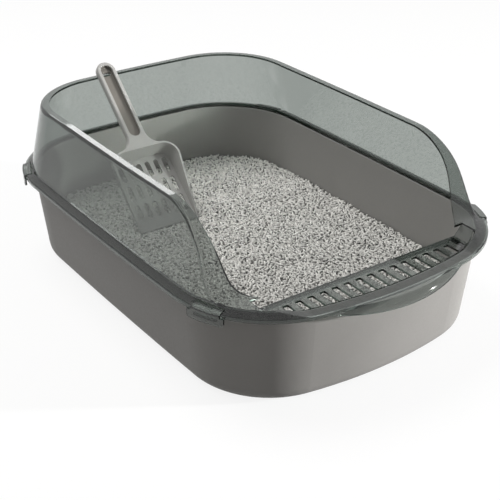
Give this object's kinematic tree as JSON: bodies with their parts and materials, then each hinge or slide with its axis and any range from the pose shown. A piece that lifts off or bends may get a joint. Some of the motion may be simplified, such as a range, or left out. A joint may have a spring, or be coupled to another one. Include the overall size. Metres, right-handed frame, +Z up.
{
  "type": "litter tray",
  "caption": "Semi-open cat litter tray: deep basin of litter, clear splash guard with a slotted entry step, hinged latches round the rim, and a slotted scoop leaning on the back.",
  "frame": {"origin": "middle of the tray's outline, on the ground", "axes": "+Z up, +Y from the entry at the front to the back, +X to the right seen from the front"},
  "size_m": [0.368, 0.532, 0.1968],
  "materials": {
    "basin_plastic": "fine-grained matte",
    "clear_plastic": "smoked clear",
    "scoop_plastic": "satin",
    "litter": "loose mineral granules"
  },
  "bodies": {
    "tray": {"basin": "basin_plastic", "litter_bed": "litter"},
    "guard": {"splash_guard": "clear_plastic", "entry_step": "clear_plastic"},
    "scoop": {"scoop": "scoop_plastic"},
    "latch_front_left": {"latch_front_left": "clear_plastic"},
    "latch_front_right": {"latch_front_right": "clear_plastic"},
    "latch_rear_left": {"latch_rear_left": "clear_plastic"},
    "latch_rear_right": {"latch_rear_right": "clear_plastic"}
  },
  "joints": [
    {"name": "guard_lift", "type": "slide", "parent": "tray", "child": "guard", "axis": [0, 0, 1], "range_m": [0, 0.15]},
    {"name": "scoop_lift", "type": "slide", "parent": "guard", "child": "scoop", "axis": [0, 0, 1], "range_m": [0, 0.16]},
    {"name": "latch_front_left_hinge", "type": "hinge", "parent": "guard", "child": "latch_front_left", "pos_m": [-0.168, -0.17681, 0.1064], "axis": [-0.3907, 0.9205, 0], "range_deg": [0, 100]},
    {"name": "latch_front_right_hinge", "type": "hinge", "parent": "guard", "child": "latch_front_right", "pos_m": [0.168, -0.17681, 0.1064], "axis": [-0.3907, -0.9205, 0], "range_deg": [0, 100]},
    {"name": "latch_rear_left_hinge", "type": "hinge", "parent": "guard", "child": "latch_rear_left", "pos_m": [-0.16834, 0.19392, 0.1064], "axis": [0.3907, 0.9205, 0], "range_deg": [0, 100]},
    {"name": "latch_rear_right_hinge", "type": "hinge", "parent": "guard", "child": "latch_rear_right", "pos_m": [0.16834, 0.19392, 0.1064], "axis": [0.3907, -0.9205, 0], "range_deg": [0, 100]}
  ]
}
